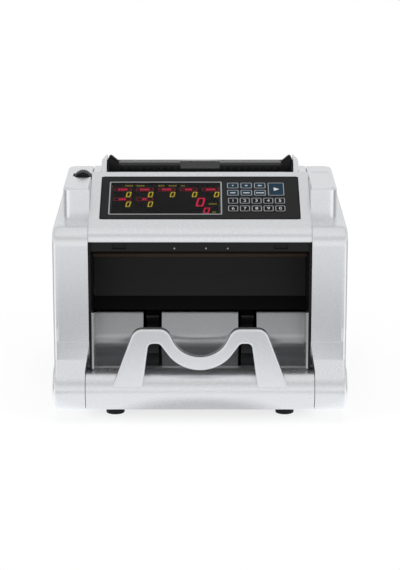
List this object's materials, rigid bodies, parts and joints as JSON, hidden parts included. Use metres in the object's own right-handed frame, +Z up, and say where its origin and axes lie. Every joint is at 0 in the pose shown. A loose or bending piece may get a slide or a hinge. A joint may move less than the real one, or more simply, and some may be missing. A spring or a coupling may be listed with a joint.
{
  "type": "banknote counting machine",
  "caption": "Table-top banknote counter: ribbed note hopper behind a sloped key and display panel, open stacker bay with a wavy note stop, silver side housings.",
  "frame": {"origin": "on the table plane, under the middle of the machine's bounding box", "axes": "+Z up, -Y towards the user, +X to the user's right"},
  "size_m": [0.28, 0.2503, 0.2333],
  "materials": {
    "silver_plastic": "metallic silver paint, satin",
    "tray_grey": "glossy grey",
    "black_plastic": "fine grain",
    "panel_black": "satin film",
    "smoked_window": "smoked, polished",
    "board_green": "solder resist",
    "key_black": "satin",
    "key_blue": "satin",
    "rocker_black": "polished",
    "foot_rubber": "matte",
    "roller_rubber": "matte",
    "belt_rubber": "matte",
    "steel": "turned and rolled",
    "black_steel": "satin black",
    "motor_steel": "zinc plated",
    "bronze": "dull copper bristle",
    "vane_plastic": "satin"
  },
  "bodies": {
    "chassis": {"left_housing": "silver_plastic", "right_housing": "silver_plastic", "control_beam": "silver_plastic", "front_bar": "silver_plastic", "stacker_stop": "silver_plastic", "rear_hood": "silver_plastic", "stacker_tray": "tray_grey", "base_pan": "black_plastic", "hopper_plate": "black_plastic", "rear_panel": "black_plastic", "power_module": "black_plastic", "path_guides": "black_plastic", "note_sensors": "black_plastic", "lamp_rail": "black_plastic", "panel_fascia": "panel_black", "display_window": "smoked_window", "display_board": "board_green", "main_board": "board_green", "rubber_feet": "foot_rubber", "drive_belts": "belt_rubber", "side_frames": "black_steel", "guide_rail": "steel", "bearings": "steel", "drive_motor": "motor_steel", "antistatic_bar": "bronze"},
    "left_guide": {"left_note_guide": "black_plastic"},
    "right_guide": {"right_note_guide": "black_plastic"},
    "adjuster": {"adjust_wheel": "black_plastic"},
    "retard": {"retard_carriage": "steel", "retard_rollers": "roller_rubber"},
    "pickup": {"pickup_shaft": "steel", "pickup_rollers": "roller_rubber"},
    "feed": {"feed_shaft": "steel", "feed_rollers": "roller_rubber"},
    "transport": {"transport_shaft": "steel", "transport_rollers": "roller_rubber"},
    "stacker": {"stacker_shaft": "steel", "stacker_wheels": "vane_plastic"},
    "pinch": {"pinch_shaft": "steel", "pinch_rollers": "roller_rubber"},
    "motor": {"motor_pulley_wheel": "steel"},
    "rocker": {"power_rocker": "rocker_black"},
    "key_digit_0_cap": {"key_digit_0": "key_black"},
    "key_digit_1_cap": {"key_digit_1": "key_black"},
    "key_digit_2_cap": {"key_digit_2": "key_black"},
    "key_digit_3_cap": {"key_digit_3": "key_black"},
    "key_digit_4_cap": {"key_digit_4": "key_black"},
    "key_digit_5_cap": {"key_digit_5": "key_black"},
    "key_digit_6_cap": {"key_digit_6": "key_black"},
    "key_digit_7_cap": {"key_digit_7": "key_black"},
    "key_digit_8_cap": {"key_digit_8": "key_black"},
    "key_digit_9_cap": {"key_digit_9": "key_black"},
    "key_function_1_cap": {"key_function_1": "key_blue"},
    "key_function_2_cap": {"key_function_2": "key_blue"},
    "key_function_3_cap": {"key_function_3": "key_blue"},
    "key_function_4_cap": {"key_function_4": "key_blue"},
    "key_function_5_cap": {"key_function_5": "key_blue"},
    "key_function_6_cap": {"key_function_6": "key_blue"},
    "key_start_cap": {"key_start": "key_blue"}
  },
  "joints": [
    {"name": "transport_spin", "type": "hinge", "parent": "chassis", "child": "transport", "pos_m": [0, 0.008, 0.106], "axis": [1, 0, 0], "continuous": true},
    {"name": "feed_spin", "type": "hinge", "parent": "chassis", "child": "feed", "pos_m": [0, 0.022, 0.146], "axis": [1, 0, 0], "continuous": true},
    {"name": "pickup_spin", "type": "hinge", "parent": "chassis", "child": "pickup", "pos_m": [0, 0.015, 0.187], "axis": [1, 0, 0], "continuous": true},
    {"name": "stacker_spin", "type": "hinge", "parent": "chassis", "child": "stacker", "pos_m": [0, -0.04, 0.066], "axis": [1, 0, 0], "continuous": true},
    {"name": "motor_spin", "type": "hinge", "parent": "chassis", "child": "motor", "pos_m": [0, 0.07, 0.044], "axis": [1, 0, 0], "continuous": true},
    {"name": "pinch_spin", "type": "hinge", "parent": "chassis", "child": "pinch", "pos_m": [0, -0.01401, 0.12199], "axis": [1, 0, 0], "continuous": true},
    {"name": "left_guide_slide", "type": "slide", "parent": "chassis", "child": "left_guide", "axis": [1, 0, 0], "range_m": [0, 0.038]},
    {"name": "right_guide_slide", "type": "slide", "parent": "chassis", "child": "right_guide", "axis": [-1, 0, 0], "range_m": [0, 0.038]},
    {"name": "adjuster_turn", "type": "hinge", "parent": "chassis", "child": "adjuster", "pos_m": [-0.114, -0.017, 0.2155], "axis": [0, 1, 0], "range_deg": [-275, 275]},
    {"name": "retard_slide", "type": "slide", "parent": "chassis", "child": "retard", "axis": [0, 1, 0], "range_m": [-0.00058, 0.00058]},
    {"name": "rocker_tilt", "type": "hinge", "parent": "chassis", "child": "rocker", "pos_m": [0.0795, 0.12125, 0.044], "axis": [1, 0, 0], "range_deg": [-20, 0]},
    {"name": "key_digit_0_press", "type": "slide", "parent": "chassis", "child": "key_digit_0_cap", "axis": [0, 0.3633, -0.9317], "range_m": [0, 0.0005], "stiffness_N_per_m": 1500},
    {"name": "key_digit_1_press", "type": "slide", "parent": "chassis", "child": "key_digit_1_cap", "axis": [0, 0.3633, -0.9317], "range_m": [0, 0.0005], "stiffness_N_per_m": 1500},
    {"name": "key_digit_2_press", "type": "slide", "parent": "chassis", "child": "key_digit_2_cap", "axis": [0, 0.3633, -0.9317], "range_m": [0, 0.0005], "stiffness_N_per_m": 1500},
    {"name": "key_digit_3_press", "type": "slide", "parent": "chassis", "child": "key_digit_3_cap", "axis": [0, 0.3633, -0.9317], "range_m": [0, 0.0005], "stiffness_N_per_m": 1500},
    {"name": "key_digit_4_press", "type": "slide", "parent": "chassis", "child": "key_digit_4_cap", "axis": [0, 0.3633, -0.9317], "range_m": [0, 0.0005], "stiffness_N_per_m": 1500},
    {"name": "key_digit_5_press", "type": "slide", "parent": "chassis", "child": "key_digit_5_cap", "axis": [0, 0.3633, -0.9317], "range_m": [0, 0.0005], "stiffness_N_per_m": 1500},
    {"name": "key_digit_6_press", "type": "slide", "parent": "chassis", "child": "key_digit_6_cap", "axis": [0, 0.3633, -0.9317], "range_m": [0, 0.0005], "stiffness_N_per_m": 1500},
    {"name": "key_digit_7_press", "type": "slide", "parent": "chassis", "child": "key_digit_7_cap", "axis": [0, 0.3633, -0.9317], "range_m": [0, 0.0005], "stiffness_N_per_m": 1500},
    {"name": "key_digit_8_press", "type": "slide", "parent": "chassis", "child": "key_digit_8_cap", "axis": [0, 0.3633, -0.9317], "range_m": [0, 0.0005], "stiffness_N_per_m": 1500},
    {"name": "key_digit_9_press", "type": "slide", "parent": "chassis", "child": "key_digit_9_cap", "axis": [0, 0.3633, -0.9317], "range_m": [0, 0.0005], "stiffness_N_per_m": 1500},
    {"name": "key_function_1_press", "type": "slide", "parent": "chassis", "child": "key_function_1_cap", "axis": [0, 0.3633, -0.9317], "range_m": [0, 0.0005], "stiffness_N_per_m": 1500},
    {"name": "key_function_2_press", "type": "slide", "parent": "chassis", "child": "key_function_2_cap", "axis": [0, 0.3633, -0.9317], "range_m": [0, 0.0005], "stiffness_N_per_m": 1500},
    {"name": "key_function_3_press", "type": "slide", "parent": "chassis", "child": "key_function_3_cap", "axis": [0, 0.3633, -0.9317], "range_m": [0, 0.0005], "stiffness_N_per_m": 1500},
    {"name": "key_function_4_press", "type": "slide", "parent": "chassis", "child": "key_function_4_cap", "axis": [0, 0.3633, -0.9317], "range_m": [0, 0.0005], "stiffness_N_per_m": 1500},
    {"name": "key_function_5_press", "type": "slide", "parent": "chassis", "child": "key_function_5_cap", "axis": [0, 0.3633, -0.9317], "range_m": [0, 0.0005], "stiffness_N_per_m": 1500},
    {"name": "key_function_6_press", "type": "slide", "parent": "chassis", "child": "key_function_6_cap", "axis": [0, 0.3633, -0.9317], "range_m": [0, 0.0005], "stiffness_N_per_m": 1500},
    {"name": "key_start_press", "type": "slide", "parent": "chassis", "child": "key_start_cap", "axis": [0, 0.3633, -0.9317], "range_m": [0, 0.0005], "stiffness_N_per_m": 1500}
  ],
  "couplings": [
    {"joint": "feed_spin", "follows": "transport_spin", "ratio": 0.76048},
    {"joint": "pickup_spin", "follows": "transport_spin", "ratio": 1.7639},
    {"joint": "stacker_spin", "follows": "transport_spin", "ratio": 0.67914},
    {"joint": "motor_spin", "follows": "transport_spin", "ratio": 1.4598},
    {"joint": "pinch_spin", "follows": "transport_spin", "ratio": -1.5238},
    {"joint": "adjuster_turn", "follows": "retard_slide", "rad_per_m": 8000}
  ]
}
